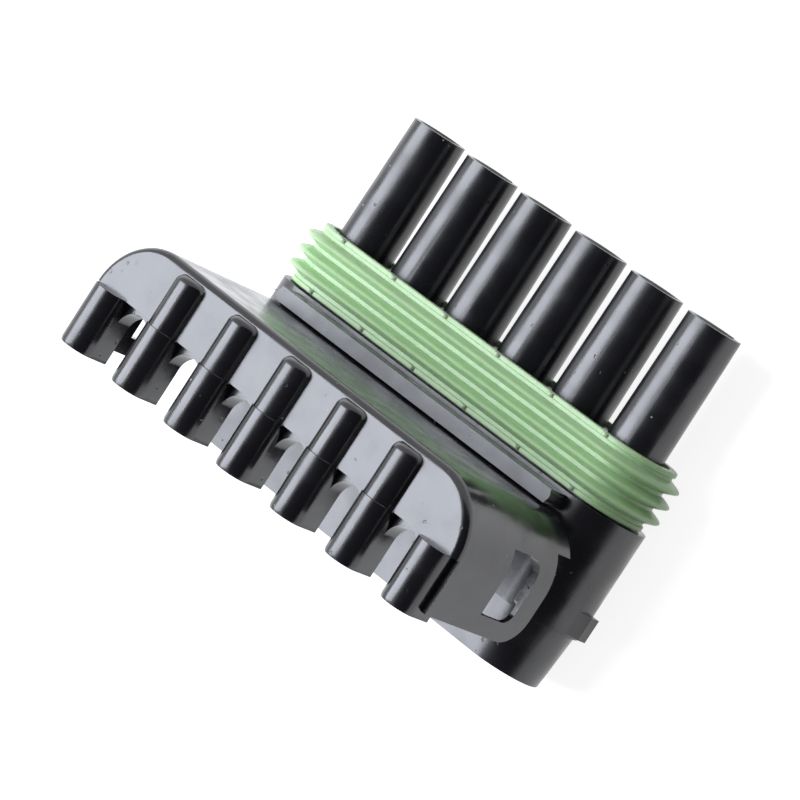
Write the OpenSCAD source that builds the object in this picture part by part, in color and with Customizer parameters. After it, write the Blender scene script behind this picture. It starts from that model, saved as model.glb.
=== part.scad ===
// Sealed in-line automotive connector, tower half, with its secondary-lock cover open.
// X runs along the row of cavities, +Y towards the tower tips, +Z up to the open cover.
// All pieces are drawn about the tower axes, with the tower tips at y = 0, and place()
// then puts the origin under the middle of the part, on the surface that it lies on.

/* [Row] */
// Number of wire cavities
ways = 6; // [4:1:8]
// Distance between cavity axes
pitch = 7.9; // [7.6:0.1:8.4]

/* [Towers] */
// Length from the tower tips to the seal
tower_len = 13.6; // [11:0.1:16]
// Outer radius of a tower at its tip
tower_tip_r = 2.95; // [2.9:0.05:3.1]
// Outer radius of a tower at its root
tower_root_r = 3.1; // [3.1:0.05:3.3]
// Radius of the mouth at the tip
mouth_r = 2.1; // [1.8:0.05:2.2]

/* [Seal] */
// Length of the ring seal along the towers
seal_len = 6.5; // [6:0.1:7]
// Height of the fin tips from the row's centre plane
fin_r = 5.85; // [5.6:0.05:6]
// Number of sealing fins
fins = 3; // [2:1:4]

/* [Housing] */
// Overall length from tower tip to rear face
housing_len = 37.9; // [36:0.1:40]
// Half height of the body in front of the latch lugs
body_r = 5.4; // [5.2:0.05:5.45]
// Half height of the body at its rear face
rear_r = 4.6; // [4.4:0.05:4.8]
// Top of the rail above the row's centre plane
rail_top = 8.2; // [7.8:0.1:8.6]

/* [Cover] */
// Height of the open cover's face above the row's centre plane
cover_face = 25.2; // [25:0.1:26]
// Corner radius of the cover's outer wall
cover_r = 6.6; // [6.5:0.05:6.8]
// Thickness of the cover's wall and arms
cover_wall = 1; // [0.8:0.05:1]
// Radius of a comb finger
finger_r = 1.95; // [1.8:0.05:2.1]

/* [Hidden] */
black = [0.07, 0.07, 0.08];
green = [0.55, 0.78, 0.48];
fine = 96;
eps = 0.01;

end_x = (ways - 1) / 2 * pitch;
far = 2 * end_x + 40;

// Stations along y, from the tower tips backwards
seal_front = -tower_len;
seal_rear = seal_front - seal_len;
flange_front = seal_rear - 0.15;
rail_front = seal_rear - 0.5;
rail_rear = rail_front - 1.5;
lug_front = -29.2;
lug_rear = lug_front - 2.5;
step_y = lug_rear - 0.3;
rear_y = -housing_len;

// Seal and the land that it sits on
land_r = 3.8;
seal_bore = land_r + 0.03;
seal_core = 4.55;
lip_r = 4.75;
fin_pitch = 1.7;
fin_root = 0.62;
fin_tip = 0.2;
nub_r = 0.4;
nub_row = end_x - 0.6;

// Cavities
stop_len = 1.4;
cavity_r = 2.3;
wire_bore_r = 2.75;
wire_bore_len = 13.5;
mouth_lead = 0.3;

// Latch lug: x is measured from the axis of the end cavity
lug_ramp = [[4.6, 1.9], [5.05, 1.4], [6, -0.6], [6, -1.9], [4.6, -1.9]];
lug_out = 6;

// Cover, in its open position, and the living hinge that it turns on
hinge = [rail_rear - 0.5, rail_top - 1.3];
hinge_r = 0.4;
corner_y = -28.95;
face_t = 2;
face_z = cover_face - face_t;
roll_r = 0.9;
plate_low = -28.8;
inner_r = cover_r - cover_wall;
arm_low = -34.5;
arm_end = 9.3;
arm_step_y = -24.9;
arm_corner_r = 3;
wall_foot = hinge[1] + 0.2;
finger_z = cover_face - 0.66;
finger_top_y = -24.7;
finger_low = -35.3;
finger_end_r = 0.6;
web_top = cover_face - 0.9;
web_low = cover_face - 2.75;
slot_r = pitch / 2 - finger_r;
slot_y = -29.2 - slot_r;
window = [[-32.6, 12], [-25.9, 16.8]];
window_r = 1.2;
track_x = end_x + lug_out + 0.1;
track_r = [9.3, 13.2];

function tower_x(i) = (i - (ways - 1) / 2) * pitch;
function finger_x(j) = (j - ways / 2) * pitch;

// Moves a piece from the tower axes to the part's own origin
module place() {
    translate([0, housing_len / 2, fin_r]) children();
}

// Cylinder along y between two stations
module y_rod(x, z, y0, y1, r0, r1) {
    translate([x, y0, z]) rotate([90, 0, 0])
        cylinder(h = y0 - y1, r1 = r0, r2 = r1, $fn = fine);
}

// Straight prism along x whose side view is drawn as [y, z] points
module x_prism(points, x0, x1) {
    translate([x0, 0, 0]) rotate([90, 0, 90])
        linear_extrude(height = x1 - x0) polygon(points);
}

// Long rounded bar round all the cavities, with a slight draft from y0 to y1
module row_bar(y0, y1, r0, r1) {
    x_prism([[y0, r0], [y1, r1], [y1, -r1], [y0, -r0]], -end_x, end_x);
    for (s = [-1, 1]) y_rod(s * end_x, 0, y0, y1, r0, r1);
}

// Sweeps a section, drawn as [radius, y] points, once round the row
module row_ring(section) {
    flat = [for (q = section) [q[1], q[0]]];
    for (s = [0, 1]) mirror([0, 0, s]) x_prism(flat, -end_x, end_x);
    for (s = [0, 1]) mirror([s, 0, 0])
        translate([end_x, 0, 0]) rotate([-90, -90, 0])
            rotate_extrude(angle = 180, $fn = fine) polygon(section);
}

/* ---------- housing ---------- */

module towers() {
    for (i = [0:ways - 1])
        y_rod(tower_x(i), 0, 0, seal_front - 1, tower_tip_r, tower_root_r);
}

// Stepped bore: mouth at the tip, terminal cavity, then the wider bore for a cable seal
module cavity(x) {
    y_rod(x, 0, eps, -mouth_lead, mouth_r + mouth_lead, mouth_r);
    y_rod(x, 0, eps, -stop_len - eps, mouth_r, mouth_r);
    y_rod(x, 0, -stop_len, rear_y + wire_bore_len - eps, cavity_r, cavity_r);
    y_rod(x, 0, rear_y + wire_bore_len, rear_y - eps, wire_bore_r, wire_bore_r);
}

// Open notch in the rim of a tower, on the underside
module rim_notch(x) {
    translate([x + 0.7, -0.45, -tower_tip_r - 1]) cube([1.3, 1, 2]);
}

// Ledge on top of the body behind the seal, where the mating half's latch ends
module rail() {
    corner = 0.7;
    y_mid = [rail_rear + corner, rail_front - corner];
    translate([0, 0, body_r - 2]) linear_extrude(height = rail_top - body_r + 2) {
        translate([-end_x, rail_rear]) square([2 * end_x, rail_front - rail_rear]);
        for (s = [-1, 1]) {
            translate([s * end_x - corner, y_mid[0]])
                square([2 * corner - 0.5, y_mid[1] - y_mid[0]]);
            for (y = y_mid) translate([s * (end_x - 0.5), y]) circle(r = corner, $fn = 48);
        }
    }
}

module lug(side) {
    outline = [for (q = lug_ramp) [side * (end_x + q[0]), q[1]]];
    translate([0, lug_front, 0]) rotate([90, 0, 0])
        linear_extrude(height = lug_front - lug_rear) polygon(outline);
}

module housing() {
    color(black) difference() {
        union() {
            towers();
            row_bar(seal_front - 0.5, flange_front - eps, land_r, land_r);
            row_bar(flange_front, step_y, body_r, body_r);
            row_bar(step_y + eps, rear_y, rear_r + 0.4, rear_r);
            rail();
            for (s = [-1, 1]) lug(s);
        }
        for (i = [0:ways - 1]) cavity(tower_x(i));
        for (i = [1, ways - 1]) rim_notch(tower_x(i));
    }
}

/* ---------- ring seal ---------- */

// Section of the seal: two end lips with pointed fins between them
function fin_y(k) = seal_front - seal_len / 2 + ((fins - 1) / 2 - k) * fin_pitch;
fin_points = [for (k = [0:fins - 1]) each [
    [seal_core, fin_y(k) + fin_root],
    [fin_r - 0.12, fin_y(k) + fin_tip],
    [fin_r, fin_y(k)],
    [fin_r - 0.12, fin_y(k) - fin_tip],
    [seal_core, fin_y(k) - fin_root]
]];
seal_section = concat(
    [[seal_bore, seal_front], [lip_r, seal_front], [lip_r, seal_front - 0.5]],
    fin_points,
    [[lip_r, seal_rear + 0.5], [lip_r, seal_rear], [seal_bore, seal_rear]]
);

// Small nubs along the top and bottom of both end lips, about one for each tower
module lip_nubs() {
    for (i = [0:ways - 1], s = [-1, 1], y = [seal_front - 0.05, seal_rear + 0.45])
        y_rod((2 * i / (ways - 1) - 1) * nub_row, s * (lip_r - 0.1), y, y - 0.4, nub_r, nub_r);
}

module ring_seal() {
    color(green) {
        row_ring(seal_section);
        lip_nubs();
    }
}

/* ---------- cover ---------- */

// Plan of the cover: straight back wall, round corners and straight sides down to low
module cover_plan(r, low) {
    translate([-end_x, corner_y]) square([2 * end_x, r]);
    translate([-end_x - r, low]) square([2 * (end_x + r), corner_y - low]);
    for (s = [-1, 1]) translate([s * end_x, corner_y]) circle(r = r, $fn = fine);
}

// Rounded edge round the cover's face
module face_roll() {
    lead = cover_r - roll_r;
    z = cover_face - roll_r;
    translate([0, corner_y + lead, z]) rotate([0, 90, 0])
        cylinder(h = 2 * end_x, r = roll_r, center = true, $fn = 48);
    for (s = [0, 1]) mirror([s, 0, 0]) {
        translate([end_x, corner_y, z]) rotate_extrude(angle = 90, $fn = fine)
            translate([lead, 0]) circle(r = roll_r, $fn = 48);
        y_rod(end_x + lead, z, corner_y + eps, plate_low - 2, roll_r, roll_r);
    }
}

module face_plate() {
    difference() {
        union() {
            translate([0, 0, face_z]) linear_extrude(height = face_t - roll_r)
                cover_plan(cover_r, plate_low - 2);
            translate([0, 0, face_z]) linear_extrude(height = face_t)
                cover_plan(cover_r - roll_r, plate_low - 2);
            face_roll();
        }
        translate([-far / 2, plate_low - 10, face_z - 5]) cube([far, 10, 15]);
    }
}

// Side view of the wall and arms: the wall runs down to the hinge, the arms stop short
module side_view() {
    r = arm_corner_r;
    top = cover_face - roll_r;
    difference() {
        union() {
            translate([arm_step_y, wall_foot]) square([20, top - wall_foot]);
            translate([arm_low, arm_end + r]) square([arm_step_y - arm_low + eps, top - arm_end - r]);
            translate([arm_low + r, arm_end]) square([arm_step_y - arm_low - r + eps, r + eps]);
            translate([arm_low + r, arm_end + r]) circle(r = r, $fn = 64);
        }
        window_shape();
    }
}

// Latch window with two round corners on the side of the arm's free end
module window_shape() {
    size = window[1] - window[0];
    translate(window[0] + [0, window_r]) square(size - [0, window_r]);
    translate(window[0] + [window_r, 0]) square(size - [2 * window_r, 0]);
    for (y = [window[0][0] + window_r, window[1][0] - window_r])
        translate([y, window[0][1] + window_r]) circle(r = window_r, $fn = 48);
}

module shell() {
    intersection() {
        difference() {
            translate([0, 0, wall_foot]) linear_extrude(height = cover_face - roll_r - wall_foot)
                cover_plan(cover_r, arm_low);
            translate([0, 0, wall_foot - 1]) linear_extrude(height = cover_face)
                cover_plan(inner_r, arm_low - 1);
        }
        translate([-far / 2, 0, 0]) rotate([90, 0, 90]) linear_extrude(height = far) side_view();
    }
}

// Shallow curved track inside each arm, round the hinge, that leads the lug to its window
module lug_track() {
    depth = track_x - end_x - inner_r;
    intersection() {
        translate([track_x - depth - 0.5, hinge[0], hinge[1]]) rotate([0, 90, 0]) difference() {
            cylinder(h = depth + 0.5, r = track_r[1], $fn = fine);
            translate([0, 0, -1]) cylinder(h = depth + 2.5, r = track_r[0], $fn = fine);
        }
        translate([end_x, arm_low - 1, arm_end - 1]) cube([20, 6, window[1][1] - arm_end + 1]);
    }
}

// Half-round rib on the face that becomes a free finger below the plate
module finger(j) {
    x = finger_x(j);
    outer = j == 0 || j == ways;
    top = outer ? plate_low + eps : finger_top_y;
    difference() {
        union() {
            y_rod(x, finger_z, top - finger_end_r, finger_low, finger_r, finger_r);
            y_rod(x, finger_z, top, top - finger_end_r - eps, finger_r - finger_end_r, finger_r);
            translate([x - finger_r, finger_low, web_low])
                cube([2 * finger_r, plate_low - finger_low + eps, finger_z - web_low]);
        }
        translate([x - 5, finger_low - 1, web_low - 5]) cube([10, 20, 5]);
    }
}

// Web below the plate, cut with a round-topped slot for each wire
module comb_web() {
    translate([0, 0, web_low]) linear_extrude(height = web_top - web_low) difference() {
        translate([-ways / 2 * pitch, slot_y])
            square([ways * pitch, plate_low - slot_y + eps]);
        for (i = [0:ways - 1]) translate([tower_x(i), slot_y]) circle(r = slot_r, $fn = 64);
    }
}

// Thin moulded hinge that runs along the foot of the wall
module hinge_bead() {
    translate([0, hinge[0], hinge[1]]) rotate([0, 90, 0])
        cylinder(h = 2 * end_x, r = hinge_r, center = true, $fn = 48);
    x_prism([[hinge[0] - hinge_r, hinge[1]], [hinge[0] + 0.1, hinge[1]],
        [corner_y + cover_r, wall_foot + eps], [hinge[0] - hinge_r, wall_foot + eps]],
        -end_x, end_x);
}

module cover() {
    color(black) {
        difference() {
            shell();
            for (s = [0, 1]) mirror([s, 0, 0]) lug_track();
        }
        face_plate();
        comb_web();
        for (j = [0:ways]) finger(j);
        hinge_bead();
    }
}

place() housing();
place() ring_seal();
place() cover();
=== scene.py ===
import math
import bmesh
import bpy
from mathutils import Matrix, Vector


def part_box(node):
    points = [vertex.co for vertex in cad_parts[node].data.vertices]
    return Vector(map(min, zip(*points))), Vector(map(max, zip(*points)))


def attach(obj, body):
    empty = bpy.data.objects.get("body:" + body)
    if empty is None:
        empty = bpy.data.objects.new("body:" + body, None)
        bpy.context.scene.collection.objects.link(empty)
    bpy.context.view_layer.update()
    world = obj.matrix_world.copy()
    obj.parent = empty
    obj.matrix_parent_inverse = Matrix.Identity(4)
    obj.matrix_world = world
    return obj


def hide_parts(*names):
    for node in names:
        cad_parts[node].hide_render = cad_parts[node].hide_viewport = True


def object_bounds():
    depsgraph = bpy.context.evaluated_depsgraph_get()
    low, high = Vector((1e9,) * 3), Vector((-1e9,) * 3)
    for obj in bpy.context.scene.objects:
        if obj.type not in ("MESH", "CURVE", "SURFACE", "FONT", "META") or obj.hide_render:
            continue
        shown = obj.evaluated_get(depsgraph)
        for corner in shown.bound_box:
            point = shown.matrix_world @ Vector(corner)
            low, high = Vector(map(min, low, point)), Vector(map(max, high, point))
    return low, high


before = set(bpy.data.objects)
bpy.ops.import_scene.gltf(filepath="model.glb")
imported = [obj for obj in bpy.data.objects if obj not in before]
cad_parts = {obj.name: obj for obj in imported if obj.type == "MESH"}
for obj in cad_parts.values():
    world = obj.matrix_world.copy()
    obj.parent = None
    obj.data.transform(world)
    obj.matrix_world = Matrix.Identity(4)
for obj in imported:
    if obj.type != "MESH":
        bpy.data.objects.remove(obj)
cad_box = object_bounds()

# Housing: one black moulding in glass-filled nylon, shot in a steel tool, with six hollow
# towers, a body and a latch rail. Its edges come out of the tool with a small radius, and its
# glossy skin carries a slight swirl, a few shallow pits and some dust.
_, housing_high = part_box("housing")
TOWERS = 6
HOUSING_EDGE = 0.00014
HOUSING_RELIEF = 0.00006
HOUSING_SWIRL_SCALE = 240
HOUSING_DUST_SCALE = 620
HOUSING_DULLNESS = 0.08
EDGE_STEPS = 3
EDGE_ANGLE = 32
MOULDING_MERGE = 0.000012
MOULDING_FLAT_ANGLE = 0.4
MOULDING_CREASE = 30
BLACK_NYLON = (0.0095, 0.0095, 0.012, 1)
DUST = (0.34, 0.34, 0.36, 1)
PLASTIC_IOR = 1.66
SWIRL_DETAIL = 2
SWIRL_RANGE = (0.35, 0.7)
GRAIN_DETAIL = 3
GRAIN_HEIGHT = 0.10
ROUGHNESS_RANGE = (0.16, 0.30)
PIT_BEND = 0.0006
PIT_BEND_SCALE = 1500
PIT_BEND_DETAIL = 2
PIT_RADIUS = 0.17
PIT_SHARE = 0.22
PIT_DEPTH = 0.5
DUST_RADIUS = 0.075
DUST_SHARE = 0.16
DUST_DULLNESS = 0.4


def fill(tree, socket, value):
    """Fills an input socket with a plain value, or joins it to another socket."""
    if isinstance(value, bpy.types.NodeSocket):
        tree.links.new(value, socket)
    else:
        socket.default_value = value


def new_node(tree, kind, values, **settings):
    """A node with its settings made first, and then its named inputs filled."""
    node = tree.nodes.new(kind)
    for name, value in settings.items():
        setattr(node, name, value)
    for name, value in values.items():
        fill(tree, node.inputs[name], value)
    return node


def math_node(tree, operation, first, second):
    """What a Math node makes of a socket and of a second socket or number."""
    node = new_node(tree, "ShaderNodeMath", {}, operation=operation)
    fill(tree, node.inputs[0], first)
    fill(tree, node.inputs[1], second)
    return node.outputs[0]


def map_range(tree, value, before, after):
    """What a Map Range node makes of a value, from one pair of ends to another."""
    return new_node(tree, "ShaderNodeMapRange", {
        "Value": value, "From Min": before[0], "From Max": before[1],
        "To Min": after[0], "To Max": after[1]}).outputs["Result"]


def noise(tree, place, scale, detail):
    """The outputs of a Noise Texture node."""
    return new_node(tree, "ShaderNodeTexNoise",
                    {"Vector": place, "Scale": scale, "Detail": detail}).outputs


def spots(tree, place, scale, radius, share):
    """A mask of small round spots with soft rims, in a share of a scattered pattern's cells."""
    cells = new_node(tree, "ShaderNodeTexVoronoi", {"Vector": place, "Scale": scale}).outputs
    soft = map_range(tree, cells["Distance"], (radius * 0.5, radius), (1, 0))
    split = new_node(tree, "ShaderNodeSeparateColor", {"Color": cells["Color"]})
    chosen = math_node(tree, "LESS_THAN", split.outputs[0], share)
    return math_node(tree, "MULTIPLY", soft, chosen)


def moulded_skin_group():
    """The skin of a glossy moulding: swirl, fine grain, pits and dust, on object coordinates."""
    tree = bpy.data.node_groups.new("Moulded skin", "ShaderNodeTree")
    for name, value in (("Swirl scale", 260), ("Grain scale", 5200), ("Pit scale", 880),
                        ("Dust scale", 620), ("Dullness", 0)):
        socket = tree.interface.new_socket(name, in_out="INPUT", socket_type="NodeSocketFloat")
        socket.default_value = value
    for name in ("Dust", "Roughness", "Height"):
        tree.interface.new_socket(name, in_out="OUTPUT", socket_type="NodeSocketFloat")
    given = tree.nodes.new("NodeGroupInput").outputs
    place = tree.nodes.new("ShaderNodeTexCoord").outputs["Object"]
    swirl = noise(tree, place, given["Swirl scale"], SWIRL_DETAIL)["Fac"]
    grain = noise(tree, place, given["Grain scale"], GRAIN_DETAIL)["Fac"]
    bent = new_node(tree, "ShaderNodeVectorMath", {}, operation="MULTIPLY_ADD")
    bend = noise(tree, place, PIT_BEND_SCALE, PIT_BEND_DETAIL)["Color"]
    for socket, value in zip(bent.inputs, (bend, (PIT_BEND, PIT_BEND, PIT_BEND), place)):
        fill(tree, socket, value)
    pits = spots(tree, bent.outputs["Vector"], given["Pit scale"], PIT_RADIUS, PIT_SHARE)
    dust = spots(tree, place, given["Dust scale"], DUST_RADIUS, DUST_SHARE)
    patches = map_range(tree, swirl, SWIRL_RANGE, ROUGHNESS_RANGE)
    worn = math_node(tree, "ADD", patches, given["Dullness"])
    dull = math_node(tree, "MULTIPLY", dust, DUST_DULLNESS)
    waves = math_node(tree, "ADD", swirl, math_node(tree, "MULTIPLY", grain, GRAIN_HEIGHT))
    dips = math_node(tree, "MULTIPLY", pits, -PIT_DEPTH)
    new_node(tree, "NodeGroupOutput", {
        "Dust": dust, "Roughness": math_node(tree, "ADD", worn, dull),
        "Height": math_node(tree, "ADD", waves, dips)})
    return tree


def principled_material(name, ior):
    """A new material, its tree, and the inputs of its Principled BSDF node."""
    material = bpy.data.materials.new(name)
    material.use_nodes = True
    shader = material.node_tree.nodes["Principled BSDF"].inputs
    shader["IOR"].default_value = ior
    return material, material.node_tree, shader


def dress_shader(tree, shader, tones, blend, roughness, height, relief):
    """Gives a shader a colour between two tones, a roughness and a fine relief."""
    colour = new_node(tree, "ShaderNodeMix", {"A": tones[0], "B": tones[1], "Factor": blend},
                      data_type="RGBA")
    bump = new_node(tree, "ShaderNodeBump", {"Distance": relief, "Height": height})
    fill(tree, shader["Base Color"], colour.outputs["Result"])
    fill(tree, shader["Roughness"], roughness)
    fill(tree, shader["Normal"], bump.outputs["Normal"])


def black_moulding(name, relief, swirl_scale, dust_scale, dullness):
    """Glossy black plastic that wears the moulded skin."""
    material, tree, shader = principled_material(name, PLASTIC_IOR)
    skin = tree.nodes.new("ShaderNodeGroup")
    skin.node_tree = moulded_skin
    skin.inputs["Swirl scale"].default_value = swirl_scale
    skin.inputs["Dust scale"].default_value = dust_scale
    skin.inputs["Dullness"].default_value = dullness
    dress_shader(tree, shader, (BLACK_NYLON, DUST), skin.outputs["Dust"],
                 skin.outputs["Roughness"], skin.outputs["Height"], relief)
    return material


def placed(name, data):
    """A new object in the scene."""
    thing = bpy.data.objects.new(name, data)
    bpy.context.scene.collection.objects.link(thing)
    return thing


def smooth(mesh, crease):
    """Shades a mesh smoothly, with sharp edges past the crease angle in degrees."""
    mesh.shade_smooth()
    mesh.set_sharp_from_angle(angle=math.radians(crease))


def moulded_copy(node, name, edge):
    """The shape of a CAD node with its edges rounded, as a tool leaves them."""
    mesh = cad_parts[node].data.copy()
    mesh.materials.clear()
    work = bmesh.new()
    work.from_mesh(mesh)
    bmesh.ops.remove_doubles(work, verts=work.verts, dist=MOULDING_MERGE)
    bmesh.ops.dissolve_limit(work, angle_limit=math.radians(MOULDING_FLAT_ANGLE),
                             verts=work.verts, edges=work.edges)
    work.to_mesh(mesh)
    work.free()
    smooth(mesh, MOULDING_CREASE)
    piece = placed(name, mesh)
    rounding = piece.modifiers.new("Rounded edges", "BEVEL")
    rounding.width = edge
    rounding.segments = EDGE_STEPS
    rounding.limit_method = "ANGLE"
    rounding.angle_limit = math.radians(EDGE_ANGLE)
    rounding.use_clamp_overlap = True
    flats = piece.modifiers.new("Flat faces stay flat", "WEIGHTED_NORMAL")
    flats.keep_sharp = True
    return piece


moulded_skin = moulded_skin_group()
housing = moulded_copy("housing", "housing_moulding", HOUSING_EDGE)
housing.data.materials.append(black_moulding(
    "Glossy black nylon, housing", HOUSING_RELIEF, HOUSING_SWIRL_SCALE, HOUSING_DUST_SCALE,
    HOUSING_DULLNESS))
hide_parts("housing")
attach(housing, "body")

# Ring seal: one ring of light green silicone rubber, stretched over the land behind the towers.
# It has a lip at each end and three soft fins, and small nubs on the lips, and it is made here
# by sweeping its section once round the row.
seal_low, seal_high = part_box("ring_seal")
axis_z = (seal_low.z + seal_high.z) / 2
fin_tip = (seal_high.z - seal_low.z) / 2
row_half = (seal_high.x - seal_low.x) / 2 - fin_tip
seal_mid = (seal_low.y + seal_high.y) / 2
seal_half = (seal_high.y - seal_low.y) / 2
SEAL_BORE = 0.00383
SEAL_CORE = 0.00455
SEAL_LIP = 0.00475
SEAL_MERGE = 0.000004
SEAL_CREASE = 38
LIP_WIDTH = 0.00055
LIP_ROUND = 0.0001
FINS = (-1, 0, 1)
FIN_PITCH = 0.0017
FIN_HALF_ROOT = 0.00066
FIN_STEPS = 6
FIN_POINTEDNESS = 1.15
NUB_RADIUS = 0.0004
NUB_INSET = 0.0006
NUB_SINK = 0.0001
NUB_SIDES = 20
ROW_END_STEPS = 24
ROW_END_SHARE = 0.9995
SILICONE = (0.49, 0.69, 0.40, 1)
SILICONE_DEEP = (0.32, 0.52, 0.25, 1)
SILICONE_IOR = 1.42
SILICONE_RELIEF = 0.00005
SILICONE_ROUGHNESS = (0.28, 0.46)
SILICONE_SCATTER_SHARE = 0.55
SILICONE_SCATTER_RADII = (0.6, 1.0, 0.4)
SILICONE_SCATTER_DEPTH = 0.0012
TONE_SCALE = 900
TONE_DETAIL = 4
TONE_SHARE = 0.35
QUARTER_TURN = (math.radians(90), 0, 0)


def seal_section():
    """Half-plane outline of the seal: height over the bore, and place along the towers."""
    lip = SEAL_LIP - SEAL_BORE
    core = SEAL_CORE - SEAL_BORE
    end = [(0, -seal_half), (lip - LIP_ROUND, -seal_half), (lip, -seal_half + LIP_ROUND),
           (lip, -seal_half + LIP_WIDTH - LIP_ROUND), (core, -seal_half + LIP_WIDTH)]
    fins = []
    for fin in FINS:
        for step in range(-FIN_STEPS, FIN_STEPS + 1):
            t = step / FIN_STEPS
            rise = (fin_tip - SEAL_CORE) * math.cos(t * math.pi / 2) ** FIN_POINTEDNESS
            fins.append((core + rise, fin * FIN_PITCH + t * FIN_HALF_ROOT))
    return end + fins + [(height, -along) for height, along in reversed(end)]


def closed_outline(name, points):
    """A closed outline as a curve object, for a tree to sweep."""
    curve = bpy.data.curves.new(name, "CURVE")
    curve.dimensions = "3D"
    spline = curve.splines.new("POLY")
    spline.points.add(len(points) - 1)
    for point, (x, y) in zip(spline.points, points):
        point.co = (x, y, 0, 1)
    spline.use_cyclic_u = True
    return placed(name, curve)


def new_tree(name, inputs):
    """An empty geometry tree with named inputs, and the identifiers of those inputs."""
    tree = bpy.data.node_groups.new(name, "GeometryNodeTree")
    tree.is_modifier = True
    tree.interface.new_socket("Geometry", in_out="OUTPUT", socket_type="NodeSocketGeometry")
    ids = {}
    for label, kind in inputs:
        ids[label] = tree.interface.new_socket(label, in_out="INPUT", socket_type=kind).identifier
    return tree, ids


def made_by_tree(name, tree, ids, values):
    """Runs a geometry tree once and returns what it makes as a plain mesh object."""
    holder = placed(name + "_tree", bpy.data.meshes.new(name + "_tree"))
    modifier = holder.modifiers.new("Tree", "NODES")
    modifier.node_group = tree
    for label, value in values.items():
        modifier[ids[label]] = value
    depsgraph = bpy.context.evaluated_depsgraph_get()
    mesh = bpy.data.meshes.new_from_object(holder.evaluated_get(depsgraph), depsgraph=depsgraph)
    mesh.name = name
    bpy.data.objects.remove(holder)
    return placed(name, mesh)


def row_of_copies(tree, shape, count, points, turn):
    """Copies of a shape at an even pitch from one point to another, each given as X, Y, Z."""
    start, end = (new_node(tree, "ShaderNodeCombineXYZ", dict(zip("XYZ", point)))
                  for point in points)
    row = new_node(tree, "GeometryNodeMeshLine", {
        "Count": count, "Start Location": start.outputs["Vector"],
        "Offset": end.outputs["Vector"]}, mode="END_POINTS")
    return new_node(tree, "GeometryNodeInstanceOnPoints", {
        "Points": row.outputs["Mesh"], "Instance": shape,
        "Rotation": turn}).outputs["Instances"]


def finish_tree(tree, geometry, material):
    """Ends a tree in Realize Instances and Set Material."""
    real = new_node(tree, "GeometryNodeRealizeInstances", {"Geometry": geometry})
    dress = new_node(tree, "GeometryNodeSetMaterial",
                     {"Geometry": real.outputs["Geometry"], "Material": material})
    new_node(tree, "NodeGroupOutput", {"Geometry": dress.outputs["Geometry"]})


def silicone_material():
    """Satin light green silicone, deeper in tone where the noise is high."""
    material, tree, shader = principled_material("Light green silicone", SILICONE_IOR)
    shader["Subsurface Weight"].default_value = SILICONE_SCATTER_SHARE
    shader["Subsurface Radius"].default_value = SILICONE_SCATTER_RADII
    shader["Subsurface Scale"].default_value = SILICONE_SCATTER_DEPTH
    place = tree.nodes.new("ShaderNodeTexCoord").outputs["Object"]
    tone = noise(tree, place, TONE_SCALE, TONE_DETAIL)["Fac"]
    blend = math_node(tree, "MULTIPLY", tone, TONE_SHARE)
    roughness = map_range(tree, tone, (0, 1), SILICONE_ROUGHNESS)
    dress_shader(tree, shader, (SILICONE, SILICONE_DEEP), blend, roughness, tone,
                 SILICONE_RELIEF)
    return material


def seal_tree(section, material):
    """Sweeps the section round the row, and sets a row of nubs on each lip, above and below."""
    tree, ids = new_tree("Ring seal", (
        ("Row half length", "NodeSocketFloat"), ("Bore radius", "NodeSocketFloat"),
        ("Lip radius", "NodeSocketFloat"), ("Lip place", "NodeSocketFloat"),
        ("Nub radius", "NodeSocketFloat"), ("Nub count", "NodeSocketInt"),
        ("Nub row half length", "NodeSocketFloat")))
    given = tree.nodes.new("NodeGroupInput").outputs
    height = math_node(tree, "MULTIPLY", given["Bore radius"], 2)
    length = math_node(tree, "MULTIPLY", given["Row half length"], 2)
    plan = new_node(tree, "GeometryNodeCurvePrimitiveQuadrilateral",
                    {"Width": math_node(tree, "ADD", height, length), "Height": height})
    # The ends are all but half circles, because full ones would leave an edge of no length.
    round_end = math_node(tree, "MULTIPLY", given["Bore radius"], ROW_END_SHARE)
    ends = new_node(tree, "GeometryNodeFilletCurve", {
        "Curve": plan.outputs["Curve"], "Radius": round_end, "Count": ROW_END_STEPS}, mode="POLY")
    outline = new_node(tree, "GeometryNodeObjectInfo", {"Object": section})
    sweep = new_node(tree, "GeometryNodeCurveToMesh", {
        "Curve": ends.outputs["Curve"], "Profile Curve": outline.outputs["Geometry"]})
    upright = new_node(tree, "GeometryNodeTransform",
                       {"Geometry": sweep.outputs["Mesh"], "Rotation": QUARTER_TURN})
    join = new_node(tree, "GeometryNodeJoinGeometry", {"Geometry": upright.outputs["Geometry"]})
    nub = new_node(tree, "GeometryNodeMeshCylinder", {
        "Vertices": NUB_SIDES, "Depth": LIP_WIDTH - 2 * LIP_ROUND, "Radius": given["Nub radius"]})
    for side in (-1, 1):
        for end in (-1, 1):
            y = math_node(tree, "MULTIPLY", given["Lip place"], end)
            z = math_node(tree, "MULTIPLY", given["Lip radius"], side)
            points = [(math_node(tree, "MULTIPLY", given["Nub row half length"], way), y, z)
                      for way in (-1, 1)]
            nubs = row_of_copies(tree, nub.outputs["Mesh"], given["Nub count"], points,
                                 QUARTER_TURN)
            fill(tree, join.inputs["Geometry"], nubs)
    settle = new_node(tree, "GeometryNodeTransform", {
        "Geometry": join.outputs["Geometry"], "Translation": (0, seal_mid, axis_z)})
    finish_tree(tree, settle.outputs["Geometry"], material)
    return tree, ids


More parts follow.
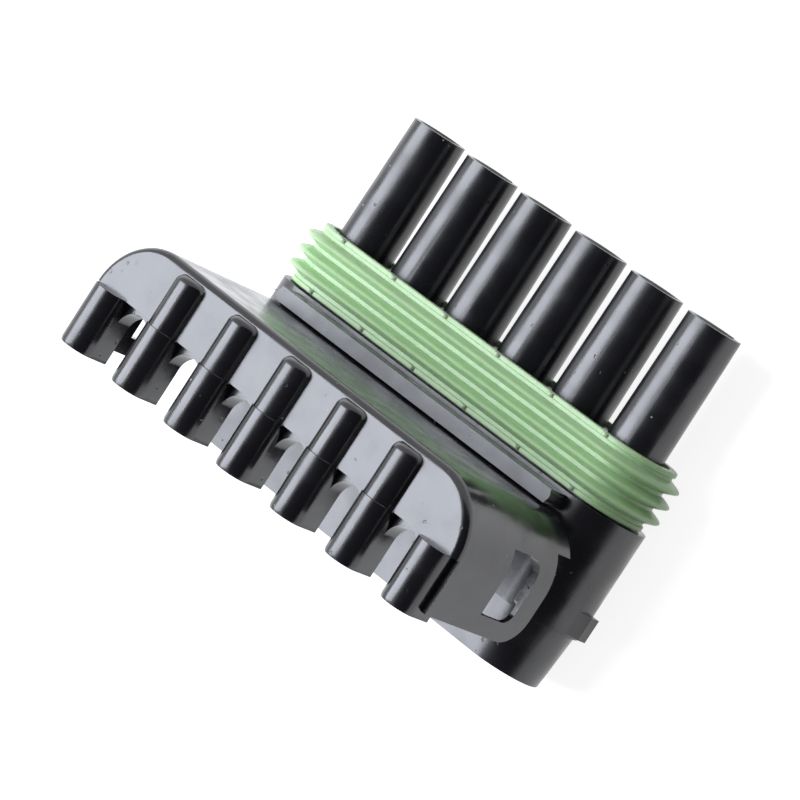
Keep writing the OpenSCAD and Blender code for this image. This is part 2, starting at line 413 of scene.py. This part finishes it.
section = closed_outline("seal_section", seal_section())
tree, ids = seal_tree(section, silicone_material())
seal = made_by_tree("ring_seal_silicone", tree, ids, {
    "Row half length": row_half, "Bore radius": SEAL_BORE, "Lip radius": SEAL_LIP - NUB_SINK,
    "Lip place": seal_half - LIP_WIDTH / 2, "Nub radius": NUB_RADIUS, "Nub count": TOWERS,
    "Nub row half length": row_half - NUB_INSET})
bpy.data.objects.remove(section)
work = bmesh.new()
work.from_mesh(seal.data)
bmesh.ops.remove_doubles(work, verts=work.verts, dist=SEAL_MERGE)
bmesh.ops.recalc_face_normals(work, faces=work.faces)
work.to_mesh(seal.data)
work.free()
smooth(seal.data, SEAL_CREASE)
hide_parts("ring_seal")
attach(seal, "body")

# Cover: the secondary lock, shot in the same tool and plastic as the housing and joined to it
# by a thin web that bends. It stands open here, with its comb of fingers pointing back.
COVER_EDGE = 0.00016
COVER_RELIEF = 0.00005
COVER_SWIRL_SCALE = 300
COVER_DUST_SCALE = 560
COVER_DULLNESS = 0
cover = moulded_copy("cover", "cover_moulding", COVER_EDGE)
cover_black = black_moulding("Glossy black nylon, cover", COVER_RELIEF, COVER_SWIRL_SCALE,
                             COVER_DUST_SCALE, COVER_DULLNESS)
cover.data.materials.append(cover_black)
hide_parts("cover")
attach(cover, "cover")

# Comb: the five inner ribs stiffen the cover's face and run on below it as free fingers, and
# the two outer fingers start at the face's lower edge. Each rib has a rounded upper end, and a
# small step crosses it where two halves of the tool meet. The fingers hold the wires apart.
_, cover_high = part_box("cover")
PITCH = 2 * row_half / (TOWERS - 1)
RIB_RADIUS = 0.00192
RIB_AXIS_BELOW_TOP = 0.00170
RIB_BASE_BELOW_AXIS = 0.0012
RIB_FILLET = 0.0002
RIB_END_ROUND = 0.0009
RIB_OVERLAP = 0.0001
FACE_BELOW_TOP = 0.00129
FINGER_RADIUS = 0.00196
FINGER_AXIS_BELOW_TOP = 0.00158
FINGER_DEPTH = 0.0024
TAPER_LENGTH = 0.00035
TAPER_DEPTH = 0.000105
STEP_CHAMFER = 0.000042
ROUND_STEPS = 20
RIB_STEPS = 12
FILLET_STEPS = 4
DOME_STEPS = 10
COMB_MERGE = 0.0000005
COMB_CREASE = 40
RIB_END_BEHIND_TIPS = 0.0231
STEP_BEHIND_TIPS = 0.0288
FINGER_END_BEHIND_TIPS = 0.03533
rib_end_y = housing_high.y - RIB_END_BEHIND_TIPS
step_y = housing_high.y - STEP_BEHIND_TIPS
finger_end_y = housing_high.y - FINGER_END_BEHIND_TIPS


def half_round(y, radius, axis, base):
    """One section of a finger: straight flanks from its base, and a half circle on top."""
    points = [Vector((-radius, y, base))]
    for step in range(ROUND_STEPS + 1):
        angle = math.pi - math.pi * step / ROUND_STEPS
        points.append(Vector((radius * math.cos(angle), y, axis + radius * math.sin(angle))))
    points.append(Vector((radius, y, base)))
    return points


def filleted_rib(y, radius, axis, base):
    """One section of a rib: its round back runs into the cover's face in a small fillet."""
    rise = cover_high.z - FACE_BELOW_TOP + RIB_FILLET - axis
    reach = math.sqrt((radius + RIB_FILLET) ** 2 - rise ** 2)
    lean = math.atan2(rise, reach)
    side = []
    for step in range(RIB_STEPS + 1):
        angle = math.pi / 2 + (lean - math.pi / 2) * step / RIB_STEPS
        side.append((radius * math.cos(angle), axis + radius * math.sin(angle)))
    for step in range(1, FILLET_STEPS + 1):
        angle = math.pi + lean + (math.pi / 2 - lean) * step / FILLET_STEPS
        side.append((reach + RIB_FILLET * math.cos(angle),
                     axis + rise + RIB_FILLET * math.sin(angle)))
    side.append((reach, base))
    mirrored = [(-x, z) for x, z in reversed(side[1:])]
    return [Vector((x, y, z)) for x, z in mirrored + side]


def rib_sections():
    """The rib, from its rounded upper end to just past the step, inside the finger."""
    axis = cover_high.z - RIB_AXIS_BELOW_TOP
    base = axis - RIB_BASE_BELOW_AXIS
    sections = []
    for step in range(DOME_STEPS + 1):
        angle = math.pi / 2 * (1 - step / DOME_STEPS)
        radius = RIB_RADIUS - RIB_END_ROUND * (1 - math.cos(angle))
        y = rib_end_y - RIB_END_ROUND * (1 - math.sin(angle))
        sections.append(filleted_rib(y, radius, axis, base))
    return sections + [filleted_rib(step_y - RIB_OVERLAP, RIB_RADIUS, axis, base)]


def finger_sections():
    """The free finger, from the step to its slightly tapered end."""
    axis = cover_high.z - FINGER_AXIS_BELOW_TOP
    places = ((step_y, STEP_CHAMFER), (step_y - STEP_CHAMFER, 0),
              (finger_end_y + TAPER_LENGTH, 0), (finger_end_y, TAPER_DEPTH))
    return [half_round(y, FINGER_RADIUS - shrink, axis, axis - FINGER_DEPTH)
            for y, shrink in places]


def bar_through(name, sections):
    """A closed bar through the given sections."""
    work = bmesh.new()
    rings = [[work.verts.new(point) for point in section] for section in sections]
    for first, second in zip(rings, rings[1:]):
        for k in range(len(first)):
            n = (k + 1) % len(first)
            work.faces.new((first[k], first[n], second[n], second[k]))
    work.faces.new(rings[0])
    work.faces.new(rings[-1])
    bmesh.ops.remove_doubles(work, verts=work.verts, dist=COMB_MERGE)
    bmesh.ops.recalc_face_normals(work, faces=work.faces)
    mesh = bpy.data.meshes.new(name)
    work.to_mesh(mesh)
    work.free()
    return placed(name, mesh)


def comb_tree(rib, finger, material):
    """Sets the fingers at an even pitch, with a rib over each of the inner ones."""
    tree, ids = new_tree("Comb", (("Pitch", "NodeSocketFloat"), ("Fingers", "NodeSocketInt")))
    given = tree.nodes.new("NodeGroupInput").outputs
    join = tree.nodes.new("GeometryNodeJoinGeometry")
    for part, fewer in ((finger, 0), (rib, 2)):
        count = math_node(tree, "SUBTRACT", given["Fingers"], fewer)
        gaps = math_node(tree, "SUBTRACT", count, 1)
        span = math_node(tree, "MULTIPLY", gaps, given["Pitch"])
        shape = new_node(tree, "GeometryNodeObjectInfo", {"Object": part})
        points = [(math_node(tree, "MULTIPLY", span, way), 0, 0) for way in (-0.5, 0.5)]
        copies = row_of_copies(tree, shape.outputs["Geometry"], count, points, (0, 0, 0))
        fill(tree, join.inputs["Geometry"], copies)
    finish_tree(tree, join.outputs["Geometry"], material)
    return tree, ids


rib = bar_through("rib_form", rib_sections())
finger = bar_through("finger_form", finger_sections())
tree, ids = comb_tree(rib, finger, cover_black)
comb = made_by_tree("comb", tree, ids, {"Pitch": PITCH, "Fingers": TOWERS + 1})
bpy.data.objects.remove(rib)
bpy.data.objects.remove(finger)
smooth(comb.data, COMB_CREASE)
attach(comb, "cover")

# Floor and backdrop: a white sheet that the connector lies on, with white all round it, so that
# the glossy plastic mirrors white from the sides and from below. Its shadow stays faint.
SHEET_SIZE = 3
SHEET_DROP = 0.00002
SHEET_GREY = 0.42
SHEET_GLOW = 0.86
MIRRORED_WHITE = 1
ROOM_LIGHT = 0.26


def seen_or_mirrored(tree, seen, mirrored):
    """A strength for what the camera sees directly, and one for what a skin or glass shows."""
    path = tree.nodes.new("ShaderNodeLightPath").outputs
    strength = math_node(tree, "MULTIPLY", path["Is Camera Ray"], seen)
    for name in ("Is Glossy Ray", "Is Transmission Ray"):
        shown = math_node(tree, "MULTIPLY", path[name], mirrored)
        strength = math_node(tree, "MAXIMUM", strength, shown)
    return strength


def square_sheet(name, size):
    """A flat square sheet round the origin, reaching the given size each way."""
    mesh = bpy.data.meshes.new(name)
    work = bmesh.new()
    bmesh.ops.create_grid(work, x_segments=1, y_segments=1, size=size)
    work.to_mesh(mesh)
    work.free()
    return placed(name, mesh)


def bare_material(name):
    """A material with an otherwise empty tree, the tree, and the input for its surface."""
    material = bpy.data.materials.new(name)
    material.use_nodes = True
    tree = material.node_tree
    tree.nodes.clear()
    return material, tree, tree.nodes.new("ShaderNodeOutputMaterial").inputs["Surface"]


floor = square_sheet("floor_sheet", SHEET_SIZE)
floor.data.transform(Matrix.Translation((0, 0, cad_box[0][2] - SHEET_DROP)))
paper, tree, surface = bare_material("White sheet")
matt = new_node(tree, "ShaderNodeBsdfDiffuse", {"Color": (SHEET_GREY, SHEET_GREY, SHEET_GREY, 1)})
glow = new_node(tree, "ShaderNodeEmission",
                {"Strength": seen_or_mirrored(tree, SHEET_GLOW, MIRRORED_WHITE)})
both = tree.nodes.new("ShaderNodeAddShader")
fill(tree, both.inputs[0], matt.outputs["BSDF"])
fill(tree, both.inputs[1], glow.outputs["Emission"])
fill(tree, surface, both.outputs["Shader"])
floor.data.materials.append(paper)

world = bpy.data.worlds.new("White room")
bpy.context.scene.world = world
world.use_nodes = True
tree = world.node_tree
back = tree.nodes["Background"].inputs
back["Color"].default_value = (1, 1, 1, 1)
shown = seen_or_mirrored(tree, 1, MIRRORED_WHITE)
fill(tree, back["Strength"], math_node(tree, "MAXIMUM", shown, ROOM_LIGHT))

# Studio: one square softbox up on the left, which draws the bright stripes along the towers
# and the fingers, and one dark card behind the camera, which keeps the black plastic black.
SOFTBOX_WAY = Vector((-0.573, -0.097, 0.814))
SOFTBOX_DISTANCE = 0.60
SOFTBOX_SIZE = 0.5
SOFTBOX_WATTS = 6
SOFTBOX_COLOUR = (0.86, 0.90, 1.0)
CARD_WAY = Vector((0.80, 0.05, 0.60))
CARD_DISTANCE = 1.0
CARD_SIZE = 1.3
CARD_COLOUR = (0.04, 0.04, 0.05, 1)
centre = (Vector(cad_box[0]) + Vector(cad_box[1])) / 2


def hang(thing, way, distance):
    """Hangs a lamp or a card out from the connector, facing it and unseen by the camera."""
    thing.location = centre + way.normalized() * distance
    thing.rotation_euler = way.to_track_quat("Z", "Y").to_euler()
    thing.visible_camera = False


lamp = bpy.data.lights.new("softbox", "AREA")
lamp.shape = "SQUARE"
lamp.size = SOFTBOX_SIZE
lamp.energy = SOFTBOX_WATTS
lamp.color = SOFTBOX_COLOUR
hang(placed("softbox", lamp), SOFTBOX_WAY, SOFTBOX_DISTANCE)

card = square_sheet("dark_card", CARD_SIZE)
hang(card, CARD_WAY, CARD_DISTANCE)
felt, tree, surface = bare_material("Dark felt")
dark = new_node(tree, "ShaderNodeEmission", {"Color": CARD_COLOUR})
fill(tree, surface, dark.outputs["Emission"])
card.data.materials.append(felt)
card.visible_diffuse = False
card.visible_shadow = False
card.visible_transmission = False

# Camera: a long lens, high up on the right, rolled so that the row of towers runs down to the
# right. It is aimed near the middle of the part, and a shift of the lens frames it.
SENSOR_WIDTH = 36
LENS = 200.8
LENS_SHIFT = (-0.0576, -0.0371)
CLIP_START = 0.01
CAMERA_ANGLES = (35.165, 5.585, 32.947)
CAMERA_DISTANCE = 0.42949
AIM_BEHIND_TIPS = 0.018
AIM_ABOVE_AXIS = 0.005

lens = bpy.data.cameras.new("camera")
lens.sensor_width = SENSOR_WIDTH
lens.lens = LENS
lens.shift_x, lens.shift_y = LENS_SHIFT
lens.clip_start = CLIP_START
camera = placed("camera", lens)
yaw, pitch, roll = (math.radians(angle) for angle in CAMERA_ANGLES)
back_way = Vector((math.sin(yaw) * math.cos(pitch), math.sin(pitch),
                   math.cos(yaw) * math.cos(pitch)))
level_right = Vector((0, 1, 0)).cross(back_way).normalized()
level_up = back_way.cross(level_right)
right = level_right * math.cos(roll) + level_up * math.sin(roll)
up = level_up * math.cos(roll) - level_right * math.sin(roll)
aim = Vector((0, housing_high.y - AIM_BEHIND_TIPS, axis_z + AIM_ABOVE_AXIS))
turn = Matrix((right, up, back_way)).transposed()
camera.matrix_world = Matrix.Translation(aim + back_way * CAMERA_DISTANCE) @ turn.to_4x4()
bpy.context.scene.camera = camera
bpy.context.scene.view_settings.view_transform = "Standard"
